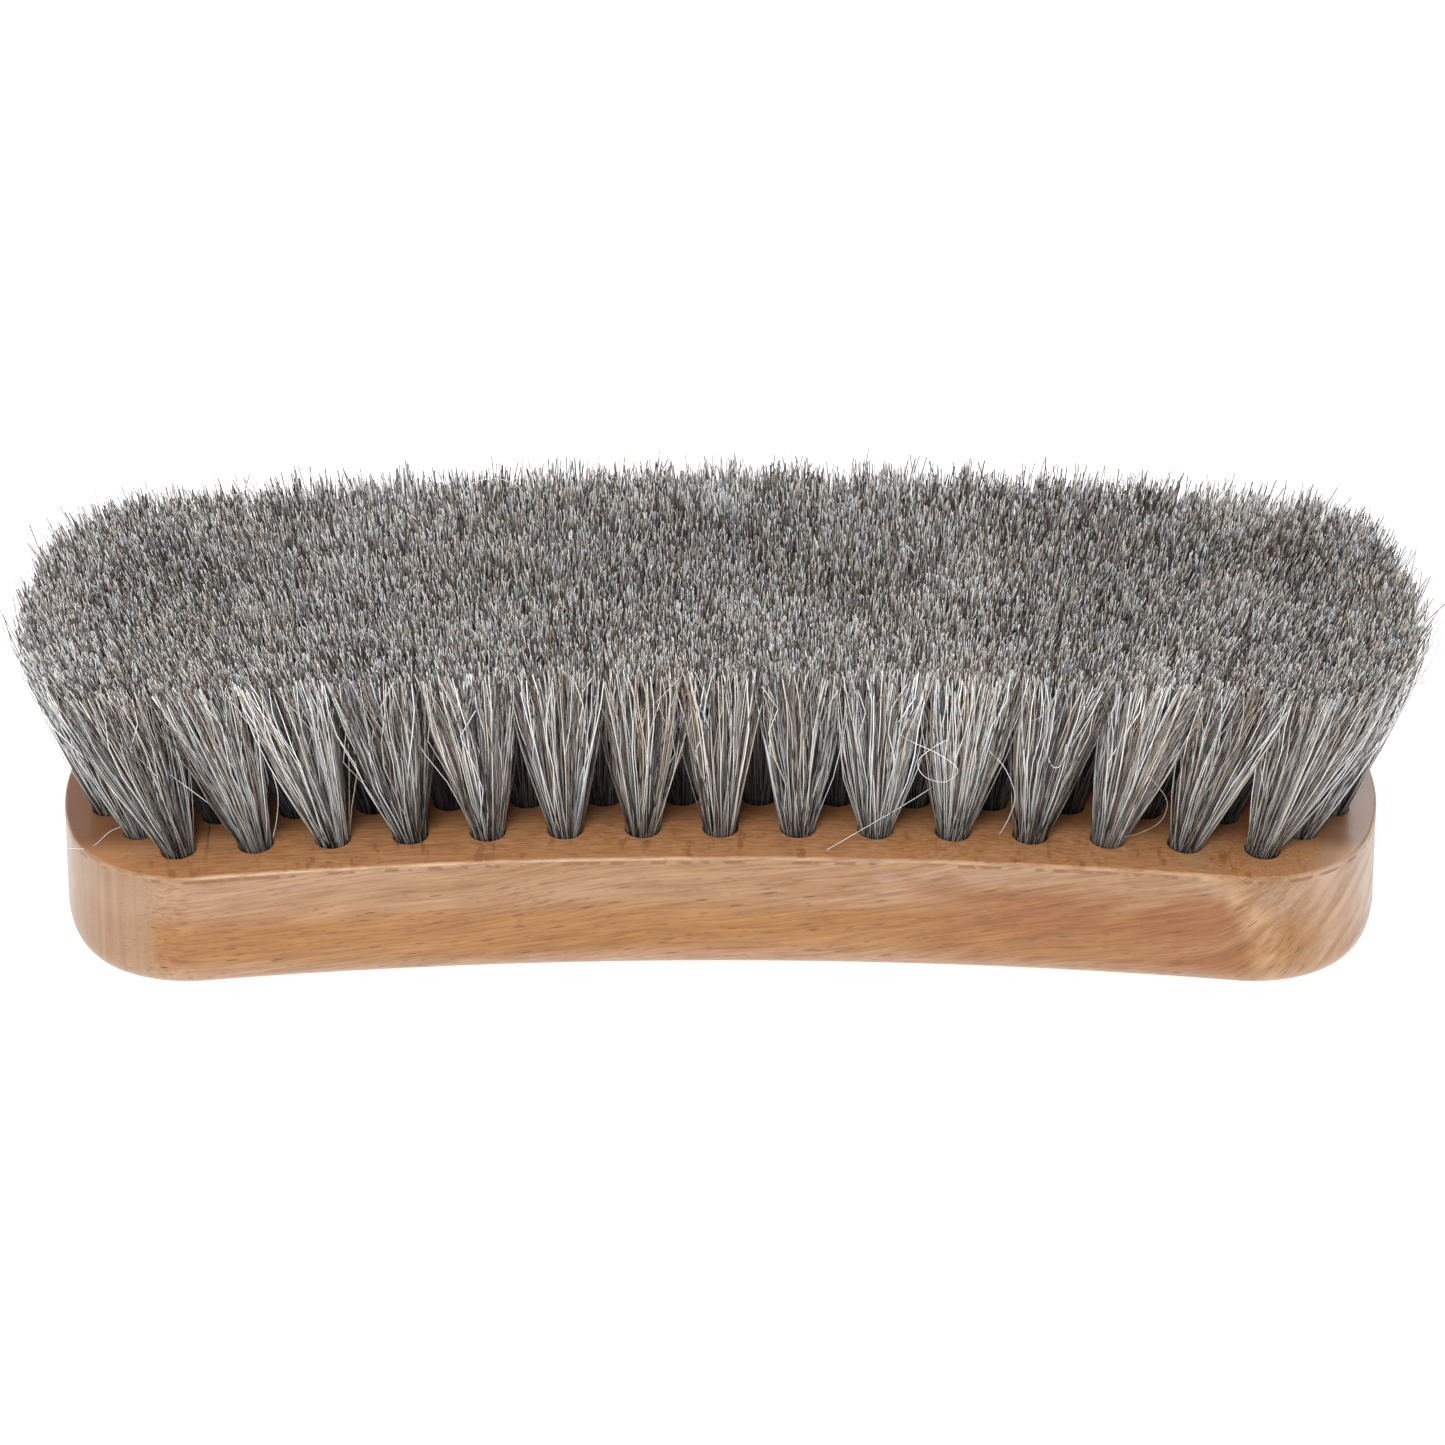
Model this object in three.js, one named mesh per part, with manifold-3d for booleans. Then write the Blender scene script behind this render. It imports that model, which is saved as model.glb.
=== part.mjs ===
// A block brush lying on its back with the hair up: an arched beech block, blind holes drilled in the outside
// of the arch, a tuft of folded horsehair in each hole and a flat wire anchor under each tuft.
// Millimetres, +Z up, +X along the block. The origin is under the middle of the block, on the surface that its
// two ends rest on.
import * as THREE from "three";
import { mergeVertices } from "three/addons/utils/BufferGeometryUtils.js";
import Module from "manifold-3d";

// Block
const BLOCK_LENGTH = 170;
const BLOCK_WIDTH = 45.5;
const BLOCK_THICKNESS = 17.3;
const BLOCK_END_RADIUS = 36;
const BLOCK_CORNER_RADIUS = 18;
const BACK_EDGE_RADIUS = 3;
const BACK_EDGE_STEPS = 3;
const FACE_ARCH_RADIUS = 720; // of the drilled face; the back is concentric with it
const RESTING_X = 80; // the back meets the resting surface this far from the middle
const ARCH_STEPS = 20;
const OUTLINE_STEP_ANGLE = Math.PI / 20;

// Drilling
const HOLE_RADIUS = 2.2;
const HOLE_DEPTH = 11;
const HOLE_PITCH = 9.92; // along a row
const OUTER_ROW_COUNT = 15;
const OUTER_ROW_Y = 15.8;
const INNER_ROW_COUNT = 14;
const INNER_ROW_Y = 8.4;
const MIDDLE_ROW_COUNT = 15;
const END_HOLES = [
  [74.6, 10.5],
  [78.9, 4.3],
]; // distances from the middle of the block along X and Y, the same in each quarter

// Hair
const HAIR_LENGTH = 28.9; // out of the drilled face
const HAIR_DEPTH = 9; // into the hole
const TUFT_ROOT_RADIUS = 1.75;
const TUFT_SIDES = 8;
const TUFT_LEVELS = [0.3, 0.65, 1]; // shares of the hair's length at which a tuft has a ring
const FAN_POWER = 1.6; // how early a tuft opens to its full share of the hair face
const FACE_LENGTH = 182;
const FACE_WIDTH = 49.6;
const FACE_END_RADIUS = 45;
const FACE_CORNER_RADIUS = 12;
const CLEARANCE = 0.3; // between solids that touch on the real brush
const ROW_OVERLAP = 0.6; // between the tips of tufts that are joined in one row

// Sharing out the hair face among the tufts
const SETTLING_PASSES = 12;
const SETTLING_GRID = 1.3;
const END_LEAN = 0.2; // extra lean of the end tufts before settling, as a share of their X
const SIDE_LEAN = 1.28;
const END_THINNING = 1.5; // how much sparser the hair is at the ends of the face

// Anchors
const ANCHOR_LENGTH = 3.2;
const ANCHOR_THICKNESS = 0.5;
const ANCHOR_HEIGHT = 1.4;
const ANCHOR_END_STEPS = 3;

const wasm = await Module();
wasm.setup();

const beech = new THREE.MeshStandardMaterial({ color: 0xc08a58, roughness: 0.4, metalness: 0 });
const horsehair = new THREE.MeshStandardMaterial({ color: 0x8f8a84, roughness: 0.7, metalness: 0 });
const steelWire = new THREE.MeshStandardMaterial({ color: 0xb9bcc0, roughness: 0.35, metalness: 1 });

/** A closed mesh as a manifold-3d solid. */
function toSolid(geometry) {
  const bare = geometry.clone();
  bare.deleteAttribute("normal");
  bare.deleteAttribute("uv");
  const merged = mergeVertices(bare, 1e-4);
  return new wasm.Manifold(
    new wasm.Mesh({
      numProp: 3,
      vertProperties: new Float32Array(merged.attributes.position.array),
      triVerts: new Uint32Array(merged.index.array),
    }),
  );
}

/** A manifold-3d solid as a three.js geometry. */
function toGeometry(solid) {
  const mesh = solid.getMesh();
  const geometry = new THREE.BufferGeometry();
  geometry.setAttribute("position", new THREE.BufferAttribute(mesh.vertProperties, mesh.numProp));
  geometry.setIndex(new THREE.BufferAttribute(mesh.triVerts, 1));
  return geometry;
}

/** Points along an arc, with both of its ends. */
function arcPoints(centreX, centreY, radius, startAngle, endAngle) {
  const steps = Math.ceil(Math.abs(endAngle - startAngle) / OUTLINE_STEP_ANGLE - 1e-6);
  const arc = new THREE.EllipseCurve(centreX, centreY, radius, radius, startAngle, endAngle, false, 0);
  return arc.getPoints(steps);
}

/** The plan of a straight-sided bar with arced ends and rounded corners, anticlockwise. */
function barOutline(length, width, endRadius, cornerRadius) {
  const endX = length / 2 - endRadius;
  const cornerY = width / 2 - cornerRadius;
  const cornerX = endX + Math.sqrt((endRadius - cornerRadius) ** 2 - cornerY ** 2);
  const meeting = Math.atan2(cornerY, cornerX - endX); // where an end arc turns into a corner arc
  const half = Math.PI / 2;
  return [
    ...arcPoints(endX, 0, endRadius, -meeting, meeting),
    ...arcPoints(cornerX, cornerY, cornerRadius, meeting, half).slice(1),
    ...arcPoints(-cornerX, cornerY, cornerRadius, half, Math.PI - meeting),
    ...arcPoints(-endX, 0, endRadius, Math.PI - meeting, Math.PI + meeting).slice(1),
    ...arcPoints(-cornerX, -cornerY, cornerRadius, Math.PI + meeting, 3 * half).slice(1),
    ...arcPoints(cornerX, -cornerY, cornerRadius, 3 * half, 4 * half - meeting).slice(0, -1),
  ];
}

const BACK_ARCH_RADIUS = FACE_ARCH_RADIUS - BLOCK_THICKNESS;
const ARCH_CENTRE_Z = -Math.sqrt(BACK_ARCH_RADIUS ** 2 - RESTING_X ** 2);

/** The height, at x, of the arch that stands `above` the drilled face. */
function archHeight(x, above) {
  return ARCH_CENTRE_Z + Math.sqrt((FACE_ARCH_RADIUS + above) ** 2 - x ** 2);
}

/** The middle line of the drilled face, which the section of the block follows. */
class ArchLine extends THREE.Curve {
  getPoint(share, target = new THREE.Vector3()) {
    const overhang = 5; // past each end of the block, for the outline to cut
    const x = (share - 0.5) * (BLOCK_LENGTH + 2 * overhang);
    return target.set(x, 0, archHeight(x, 0));
  }
}

/** The section of the block, square at the drilled face and rounded at the back, with Y down from the face. */
function blockSection() {
  const halfWidth = BLOCK_WIDTH / 2;
  const edgeX = halfWidth - BACK_EDGE_RADIUS;
  const edgeY = BLOCK_THICKNESS - BACK_EDGE_RADIUS;
  const half = Math.PI / 2;
  const edge = (side, from, to) =>
    new THREE.EllipseCurve(side * edgeX, edgeY, BACK_EDGE_RADIUS, BACK_EDGE_RADIUS, from, to).getPoints(
      BACK_EDGE_STEPS,
    );
  return new THREE.Shape([
    new THREE.Vector2(-halfWidth, 0),
    new THREE.Vector2(halfWidth, 0),
    ...edge(1, 0, half),
    ...edge(-1, half, 2 * half),
  ]);
}

/** The block before it is drilled: its section swept along the arch, cut to its outline. */
function blankBlock() {
  const swept = new THREE.ExtrudeGeometry(blockSection(), {
    steps: ARCH_STEPS,
    extrudePath: new ArchLine(),
  });
  const outline = new THREE.Shape(
    barOutline(BLOCK_LENGTH, BLOCK_WIDTH, BLOCK_END_RADIUS, BLOCK_CORNER_RADIUS),
  );
  const cutter = new THREE.ExtrudeGeometry(outline, {
    depth: 2 * BLOCK_THICKNESS,
    bevelThickness: BACK_EDGE_RADIUS,
    bevelSize: BACK_EDGE_RADIUS,
    bevelOffset: -BACK_EDGE_RADIUS,
    bevelSegments: BACK_EDGE_STEPS,
  });
  cutter.translate(0, 0, BACK_EDGE_RADIUS);
  return toSolid(swept).intersect(toSolid(cutter));
}

/** Where the holes enter the drilled face: each has a node name, or the name of the row node it belongs to. */
function tuftPlaces() {
  const places = [];
  const addRow = (count, y, nameOf) => {
    for (let i = 0; i < count; i += 1) {
      const x = (i - (count - 1) / 2) * HOLE_PITCH;
      places.push({ node: nameOf(i), root: new THREE.Vector2(x, y) });
    }
  };
  const numbered = (side) => (i) => `tuft_${side}_${String(i + 1).padStart(2, "0")}`;
  addRow(OUTER_ROW_COUNT, -OUTER_ROW_Y, numbered("front"));
  addRow(OUTER_ROW_COUNT, OUTER_ROW_Y, numbered("back"));
  addRow(INNER_ROW_COUNT, -INNER_ROW_Y, () => "inner_tufts_front");
  addRow(MIDDLE_ROW_COUNT, 0, () => "inner_tufts_middle");
  addRow(INNER_ROW_COUNT, INNER_ROW_Y, () => "inner_tufts_back");
  for (const [side, sign] of [["left", -1], ["right", 1]]) {
    const mirrored = [...END_HOLES, ...END_HOLES.map(([x, y]) => [x, -y])];
    mirrored.sort((a, b) => a[1] - b[1]);
    mirrored.forEach(([x, y], i) => {
      places.push({ node: `tuft_${side}_end_${i + 1}`, root: new THREE.Vector2(sign * x, y) });
    });
  }
  return places;
}

/** The edges of a convex outline as walls: a point on each and its normal outwards. */
function outlineWalls(outline) {
  return outline.map((point, i) => {
    const along = outline[(i + 1) % outline.length].clone().sub(point);
    return { point, normal: new THREE.Vector2(along.y, -along.x).normalize() };
  });
}

/** A grid of points over the hair face, each weighted by how densely the hair stands there. */
function faceGrid(walls) {
  const grid = [];
  const across = Math.floor(FACE_WIDTH / 2 / SETTLING_GRID);
  const along = Math.floor(FACE_LENGTH / 2 / SETTLING_GRID);
  for (let i = -along; i <= along; i += 1) {
    for (let j = -across; j <= across; j += 1) {
      const point = new THREE.Vector2(i * SETTLING_GRID, j * SETTLING_GRID);
      if (walls.every((wall) => wall.normal.dot(point.clone().sub(wall.point)) <= 0)) {
        grid.push({ point, weight: 1 / (1 + END_THINNING * (point.x / (FACE_LENGTH / 2)) ** 2) });
      }
    }
  }
  return grid;
}

/** Gives each tuft a tip in the middle of its own share of the hair face. */
function settleTips(places, walls) {
  const grid = faceGrid(walls);
  const farthestX = END_HOLES[END_HOLES.length - 1][0];
  for (const place of places) {
    const { x, y } = place.root;
    place.tip = new THREE.Vector2(x * (1 + (END_LEAN * Math.abs(x)) / farthestX), y * SIDE_LEAN);
  }
  for (let pass = 0; pass < SETTLING_PASSES; pass += 1) {
    const sums = places.map(() => ({ point: new THREE.Vector2(), weight: 0 }));
    for (const { point, weight } of grid) {
      let nearest = 0;
      places.forEach((place, i) => {
        if (place.tip.distanceToSquared(point) < places[nearest].tip.distanceToSquared(point)) nearest = i;
      });
      sums[nearest].point.addScaledVector(point, weight);
      sums[nearest].weight += weight;
    }
    places.forEach((place, i) => place.tip.copy(sums[i].point).divideScalar(sums[i].weight));
  }
}

/** How far a tuft's tip may spread in a direction before it meets the edge of the face or a neighbour. */
function spreadAt(place, places, walls, direction) {
  let least = Infinity;
  const meet = (normal, distance) => {
    const closing = normal.dot(direction);
    if (closing > 1e-6) least = Math.min(least, distance / closing);
  };
  for (const wall of walls) meet(wall.normal, wall.normal.dot(wall.point.clone().sub(place.tip)));
  for (const other of places) {
    if (other === place) continue;
    const between = other.tip.clone().sub(place.tip);
    const joined = other.node === place.node;
    const gap = joined ? -ROW_OVERLAP : CLEARANCE;
    meet(between.clone().normalize(), (between.length() - gap) / 2);
  }
  return least;
}

/** A column with a ring at each level, from a cylinder whose points are put where `placeAt` says. */
function column(sides, levels, placeAt) {
  const geometry = new THREE.CylinderGeometry(1, 1, 1, sides, levels.length - 1).rotateX(Math.PI / 2);
  const position = geometry.attributes.position;
  const direction = new THREE.Vector2();
  for (let i = 0; i < position.count; i += 1) {
    const level = levels[Math.round((position.getZ(i) + 0.5) * (levels.length - 1))];
    direction.set(position.getX(i), position.getY(i));
    position.setXYZ(i, ...placeAt(direction, level));
  }
  return geometry;
}

/** The middle of a tuft, `level` of the hair's length out of the drilled face, or in it where that is negative. */
function tuftMiddle(place, level) {
  return place.root.clone().lerp(place.tip, level);
}

/** The hole that a tuft stands in, a little taller than the block so that it cuts through the face. */
function holeCutter(place) {
  const levels = [-HOLE_DEPTH / HAIR_LENGTH, 2 / HAIR_LENGTH];
  return column(TUFT_SIDES, levels, (direction, level) => {
    const point = tuftMiddle(place, level).addScaledVector(direction, HOLE_RADIUS);
    return [point.x, point.y, archHeight(point.x, level * HAIR_LENGTH)];
  });
}

/** One tuft: round in its hole, fanning out to its share of the hair face. */
function tuft(place, places, walls) {
  const levels = [-HAIR_DEPTH / HAIR_LENGTH, 0, ...TUFT_LEVELS];
  return column(TUFT_SIDES, levels, (direction, level) => {
    const fan = 1 - (1 - Math.max(level, 0)) ** FAN_POWER;
    const spread = direction.length() < 0.5 ? 0 : spreadAt(place, places, walls, direction);
    const radius = TUFT_ROOT_RADIUS + (spread - TUFT_ROOT_RADIUS) * fan;
    const point = tuftMiddle(place, level).addScaledVector(direction, radius);
    return [point.x, point.y, archHeight(point.x, level * HAIR_LENGTH)];
  });
}

/** The flat wire under a tuft, standing on edge across its hole. */
function anchor(place) {
  const halfRun = (ANCHOR_LENGTH - ANCHOR_THICKNESS) / 2;
  const end = (sign, from, to) =>
    new THREE.EllipseCurve(0, sign * halfRun, ANCHOR_THICKNESS / 2, ANCHOR_THICKNESS / 2, from, to).getPoints(
      ANCHOR_END_STEPS,
    );
  const outline = new THREE.Shape([...end(1, 0, Math.PI), ...end(-1, Math.PI, 2 * Math.PI)]);
  const geometry = new THREE.ExtrudeGeometry(outline, { depth: ANCHOR_HEIGHT, bevelEnabled: false });
  const bottom = HAIR_DEPTH + CLEARANCE + ANCHOR_HEIGHT;
  const middle = tuftMiddle(place, -bottom / HAIR_LENGTH);
  return geometry.translate(middle.x, middle.y, archHeight(middle.x, -bottom));
}

/** A named mesh in the group. */
function addPiece(group, name, geometry, material) {
  const mesh = new THREE.Mesh(geometry, material);
  mesh.name = name;
  group.add(mesh);
}

function brush() {
  const group = new THREE.Group();
  const places = tuftPlaces();
  const faceWalls = outlineWalls(
    barOutline(FACE_LENGTH, FACE_WIDTH, FACE_END_RADIUS, FACE_CORNER_RADIUS),
  );
  settleTips(places, faceWalls);

  let block = blankBlock();
  for (const place of places) block = block.subtract(toSolid(holeCutter(place)));
  addPiece(group, "block", toGeometry(block), beech);

  const tufts = new Map();
  for (const place of places) {
    const solid = toSolid(tuft(place, places, faceWalls));
    const joined = tufts.get(place.node);
    tufts.set(place.node, joined ? joined.add(solid) : solid);
  }
  for (const [name, solid] of tufts) addPiece(group, name, toGeometry(solid), horsehair);

  for (const place of places.filter(({ node }) => node.startsWith("tuft_front"))) {
    addPiece(group, place.node.replace("tuft", "anchor"), anchor(place), steelWire);
  }
  return group;
}

export default brush();
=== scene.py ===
"""The looks of the block brush: a drilled beech block, folded horsehair in each hole and wire anchors.

Shapes are worked out in millimetres in the part's own frame, with +Z the way the hair stands, and become
metres when a mesh is made. The driving dimensions that the frame can't tell are the ones that the CAD part
was made from, except that the hair face is 2 mm shorter, because single hairs reach past its ends.
"""

import math

import bmesh
import bpy
import numpy as np
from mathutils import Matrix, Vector

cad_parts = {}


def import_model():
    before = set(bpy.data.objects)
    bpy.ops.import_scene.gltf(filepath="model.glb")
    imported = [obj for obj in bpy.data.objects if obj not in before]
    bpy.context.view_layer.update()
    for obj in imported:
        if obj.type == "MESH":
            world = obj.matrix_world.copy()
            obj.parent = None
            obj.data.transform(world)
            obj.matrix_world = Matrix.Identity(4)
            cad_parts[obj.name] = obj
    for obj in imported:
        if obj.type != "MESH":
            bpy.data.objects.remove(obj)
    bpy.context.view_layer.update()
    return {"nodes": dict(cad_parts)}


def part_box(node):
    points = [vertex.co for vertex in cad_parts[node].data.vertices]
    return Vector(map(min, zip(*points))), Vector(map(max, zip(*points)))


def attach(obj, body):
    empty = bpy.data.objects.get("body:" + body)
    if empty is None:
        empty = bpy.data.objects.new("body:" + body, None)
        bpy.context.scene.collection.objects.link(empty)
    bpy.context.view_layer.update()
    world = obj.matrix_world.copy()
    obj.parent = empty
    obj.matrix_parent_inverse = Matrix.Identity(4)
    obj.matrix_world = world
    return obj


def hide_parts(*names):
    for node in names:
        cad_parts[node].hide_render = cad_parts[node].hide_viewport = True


MM = 0.001
TINY = 1e-6  # below this, a difference is only rounding

# Block
BLOCK_THICKNESS = 17.3
BLOCK_END_RADIUS = 36
BLOCK_CORNER_RADIUS = 18
BACK_EDGE_RADIUS = 3
ARRIS_RADIUS = 0.45  # the eased edge round the drilled face
FACE_ARCH_RADIUS = 720
RESTING_X = 80
OUTLINE_SPACING = 0.8  # between the points of the block's fine outline
ROUNDING_STEPS = 7
SIDE_STEPS = 4
OUTLINE_STEP_ANGLE = math.pi / 90
SHARP_ANGLE = math.radians(28)  # edges that turn by more than this look sharp

# Drilling
HOLE_RADIUS = 2.2
HOLE_DEPTH = 11
HOLE_PITCH = 9.92
RIM_EASING = 0.18  # how far the mouth of a hole is opened out
DRILL_TIP_HEIGHT = 0.6
DRILL_TIP_NARROWING = 0.9
CUTTER_RISE = 1  # how far a hole's cutter stands above the drilled face, where it opens out by as much
HOLE_SIDES = 40
OUTER_ROW_COUNT = 15
OUTER_ROW_Y = 15.8
INNER_ROW_COUNT = 14
INNER_ROW_Y = 8.4
MIDDLE_ROW_COUNT = 15
END_HOLES = ((74.6, 10.5), (78.9, 4.3))

# Grain
GRAIN_SLOPE = 0.15
GRAIN_SWAY = 1.3  # how far the grain wanders up and down
SWIRL_START_X = 62
SWIRL_END_X = 90
SWIRL_RISE = 16  # how far the grain climbs in the swirl at the right end
CURL_X = 71.5  # the foot of the pale curl in the swirl
CURL_BOW = 10.5  # how far left of its foot the curl starts, at the drilled face
CURL_STRAIGHTENING = 0.2  # how fast it turns down, for each millimetre of depth
CURL_HALF_WIDTH = 4

# Hair face
HAIR_LENGTH = 28.9
FACE_LENGTH = 180
FACE_WIDTH = 49.6
FACE_END_RADIUS = 45
FACE_CORNER_RADIUS = 12
FACE_STEP_ANGLE = math.pi / 20
SETTLING_PASSES = 12
SETTLING_GRID = 1.3
END_LEAN = 0.2
SIDE_LEAN = 1.28
END_THINNING = 1.5

# Hair
STRANDS_PER_TUFT = 340  # each is folded under the anchor, so it shows as two hairs
HAIR_SIDES = 3
HAIR_ROOT_RADIUS = 0.09
HAIR_TIP_RADIUS = 0.068
# Shares of a hair's length, from its tip to the mouth of the hole
HAIR_LEVELS = (1, 0.86, 0.7, 0.52, 0.35, 0.17, 0)
THICKNESS_SHARES = (0.75, 1.25)  # of the radii above, from the finest hair to the thickest
ROOT_JITTER = 0.05  # radians round the hole
FAN_POWER = 1.15
SCATTER = 1  # how far hairs stray out of their tuft's share of the hair face
LOCKS_PER_TUFT = 18
LOCK_PULL = 0.27
WAVE = 0.4
BENT_SHARE = 0.14
BENT_WAVE = 1
WAVES_IN_HAIR = (0.8, 2.2)  # the fewest and the most waves in a hair's length
CROSSING_SHARE = 0.16  # of the hairs, which cross from one side of the tuft to the other
BOW = 1.4  # how strongly hairs bow, so that they cross and their tips lean
UNEVEN_TIPS = 0.009
RIM_WIDTH = 4  # of the edge of the hair face, where the tips are less even
RIM_UNEVEN_TIPS = 0.045
BACK_RISE = 0.035  # how much longer the hair is at the middle of the back rim, as a share of its length
SHORT_SHARE = 0.12
SHORT_BY = 0.05
MEAN_SHORTFALL = math.sqrt(2 / math.pi)  # of a normal draw's size
ANGLE_STEPS = 181
TUFT_TONE_JITTER = 0.05
HAIR_SEED = 7
# How much light reaches a hair: levels along it, and the share of the light at each
OUTER_SHADE = ((0, 0.12, 0.5, 1), (0.22, 0.45, 0.86, 1))
INNER_SHADE = ((0, 0.3, 0.75, 1), (0.04, 0.15, 0.88, 0.93))

# Anchors
HAIR_DEPTH = 9
CLEARANCE = 0.3
ANCHOR_LENGTH = 3.2
ANCHOR_THICKNESS = 0.5
ANCHOR_HEIGHT = 1.4
ANCHOR_DEPTH = HAIR_DEPTH + CLEARANCE + ANCHOR_HEIGHT  # from the drilled face to an anchor's lower edge
ANCHOR_END_STEPS = 8
FOLD_SPREAD = 0.08  # between the shallowest and the deepest fold of a tuft's hairs

# Stray hairs: the points that each passes through, how light it is and how warm its colour
STRAY_RADIUS = 0.05
STRAY_STEP = 0.6
STRAYS = {
    "over_left_end": (
        (
            (-71, -12.5, 18.8),
            (-73.6, -10.6, 19),
            (-78, -11.4, 18.6),
            (-81, -13.5, 17.2),
            (-85, -13.4, 17.2),
        ),
        1.0,
        0.0,
    ),
    "over_arris": (
        ((27, -18, 29.5), (23.8, -18.5, 27.4), (18.6, -19.8, 24.6), (13.5, -21.5, 22.2)),
        0.95,
        0.1,
    ),
    "loop": (
        (
            (21, -20, 42),
            (23, -21.5, 39.5),
            (27.5, -22.5, 37.5),
            (30, -22.8, 35.3),
            (28.4, -22.6, 33.3),
            (25.8, -22.2, 33.9),
            (25, -22, 36),
            (26.8, -22.2, 38.2),
            (29, -22, 39.5),
        ),
        0.95,
        0.1,
    ),
    "hook": (
        ((40.8, -21.8, 38.6), (42, -22.2, 35.4), (43.3, -22.2, 35.8), (43.7, -22, 38.6)),
        0.98,
        0.0,
    ),
    "tan_curl": (
        (
            (49, -20.5, 36.5),
            (52.2, -21, 35.6),
            (55, -21.4, 32.5),
            (56.7, -21.4, 29.5),
            (56, -20.6, 26),
            (53.5, -19.4, 23.4),
            (51.5, -18.3, 22),
        ),
        0.55,
        0.8,
    ),
    "left_diagonal": (
        ((-78, -20, 41), (-75.5, -20.5, 37.9), (-70, -19.6, 32.5), (-65.2, -18, 27)),
        0.9,
        0.3,
    ),
    "left_drop": (
        ((-57, -20.5, 34), (-56.3, -19.6, 29.6), (-56.6, -18.4, 25), (-57.2, -17.6, 21.5)),
        0.75,
        0.4,
    ),
    "right_bow": (
        ((34, -21, 37), (36, -21, 34.4), (37.4, -20.4, 29.9), (36.8, -18.8, 25.5), (35.6, -17.8, 22)),
        0.85,
        0.2,
    ),
    "on_top": (
        ((-34, 18, 49.5), (-32.5, 20.4, 51), (-29.5, 21.4, 51.4), (-26.5, 20.5, 51), (-25, 18.5, 49.8)),
        0.85,
        0.1,
    ),
}

# Varnish
VARNISH_ROUGHNESS = (0.34, 0.46)  # where it is cleanest and where it is most smeared
COAT_ROUGHNESS = 0.16
COAT_WEIGHT = 0.35
VARNISH_SPECULAR = 0.35
RELIEF_DEPTH = 0.03
RELIEF_STRENGTH = 0.4

# Colours of the wood
BAND_COLOURS = (
    (0.3, (0.262, 0.126, 0.048)),
    (0.46, (0.3, 0.158, 0.073)),
    (0.6, (0.327, 0.18, 0.094)),
    (0.75, (0.354, 0.205, 0.114)),
)
FIBRE_TINTS = ((0.34, (0.68, 0.64, 0.6)), (0.66, (1.12, 1.24, 1.4)))
END_STREAK_COLOURS = ((0.3, (0.225, 0.13, 0.074)), (0.7, (0.315, 0.2, 0.125)))
DRILLED_FACE_COLOUR = (0.64, 0.278, 0.105)
# Painted shade low on the sides
LOWER_SIDE_SHADE_COLOUR = (0.283, 0.113, 0.021)
DARKER_RIGHT_COLOUR = (0.232, 0.08, 0.02)
RED_PATCH_COLOUR = (0.25, 0.09, 0.03)
# Painted reflection of the floor on the lip
LIP_REFLECTION_COLOUR = (0.36, 0.2, 0.115)
SWIRL_COLOUR = (0.43, 0.275, 0.145)
# Paler wood at the right end, partly its own colour and partly a painted sheen
RIGHT_END_PALE_AND_SHEEN_COLOUR = (0.52, 0.36, 0.25)
BOLD_FLECK_COLOUR = (0.09, 0.038, 0.014)
FAINT_FLECK_COLOUR = (0.11, 0.045, 0.016)
# The next three: a painted highlight along the upper edge, painted shade in dashes under it, and a fainter
# painted highlight lower down
EDGE_HIGHLIGHT_COLOUR = (0.52, 0.36, 0.21)
EDGE_SHADE_DASH_COLOUR = (0.17, 0.062, 0.02)
LOWER_EDGE_HIGHLIGHT_COLOUR = (0.36, 0.28, 0.24)
# Painted shade on the drilled face among the tufts
TUFT_SHADE_COLOUR = (0.13, 0.05, 0.022)
STAIN_COLOUR = (0.23, 0.065, 0.02)

# Colours of the hair, from the darkest to the lightest
TONE_DRIFT = 0.1  # how much lighter or darker whole patches of the hair are
WARM_SHARES = (0.38, 0.86)  # of the warmth, from where a hair is quite cool to where it is quite warm
COOL_HAIR_COLOURS = (
    (0, (0.018, 0.017, 0.018)),
    (0.2, (0.056, 0.053, 0.051)),
    (0.45, (0.28, 0.285, 0.286)),
    (0.7, (0.65, 0.662, 0.66)),
    (1, (0.92, 0.945, 0.96)),
)
WARM_HAIR_COLOURS = (
    (0, (0.03, 0.02, 0.014)),
    (0.25, (0.105, 0.066, 0.042)),
    (0.5, (0.315, 0.24, 0.178)),
    (0.8, (0.65, 0.565, 0.455)),
    (1, (0.85, 0.79, 0.7)),
)

# Colours of the wire and the floor
STEEL_COLOURS = ((0.3, (0.5, 0.51, 0.53)), (0.7, (0.66, 0.67, 0.69)))
FLOOR_COLOURS = ((0, (0.9, 0.9, 0.9)), (1, (0.92, 0.92, 0.92)))

# View
CAMERA_ELEVATION = 33
CAMERA_DISTANCE = 1200
CAMERA_TARGET = (0.25, 0, 27.6)
CAMERA_LENS = 231.7
SENSOR_WIDTH = 36

# Studio, in metres and watts
FLOOR_HALF_SIZE = 4
FLOOR_GLOW = 0.56  # as of a sheet lit from below
TENT_WALL_TOP = 0.12  # where the tent's walls start to dim, as the sine of the height above the horizon
TENT_WALL_LIGHT = 1
TENT_ROOF_LIGHT = 0.1
# Softboxes: where each stands, what it points at, its size and its power
SOFTBOXES = {
    "overhead": ((0, -0.15, 0.9), (0, 0, 0), (0.8, 0.6), 1.3),
    "front": ((-0.25, -0.9, 0.5), (0, 0, 0.02), (0.6, 0.4), 9),
    "back": ((0.3, 0.9, 0.55), (0, 0, 0.02), (0.6, 0.4), 3),
}

BACK_ARCH_RADIUS = FACE_ARCH_RADIUS - BLOCK_THICKNESS
ARCH_CENTRE_Z = -math.sqrt(BACK_ARCH_RADIUS**2 - RESTING_X**2)


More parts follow.
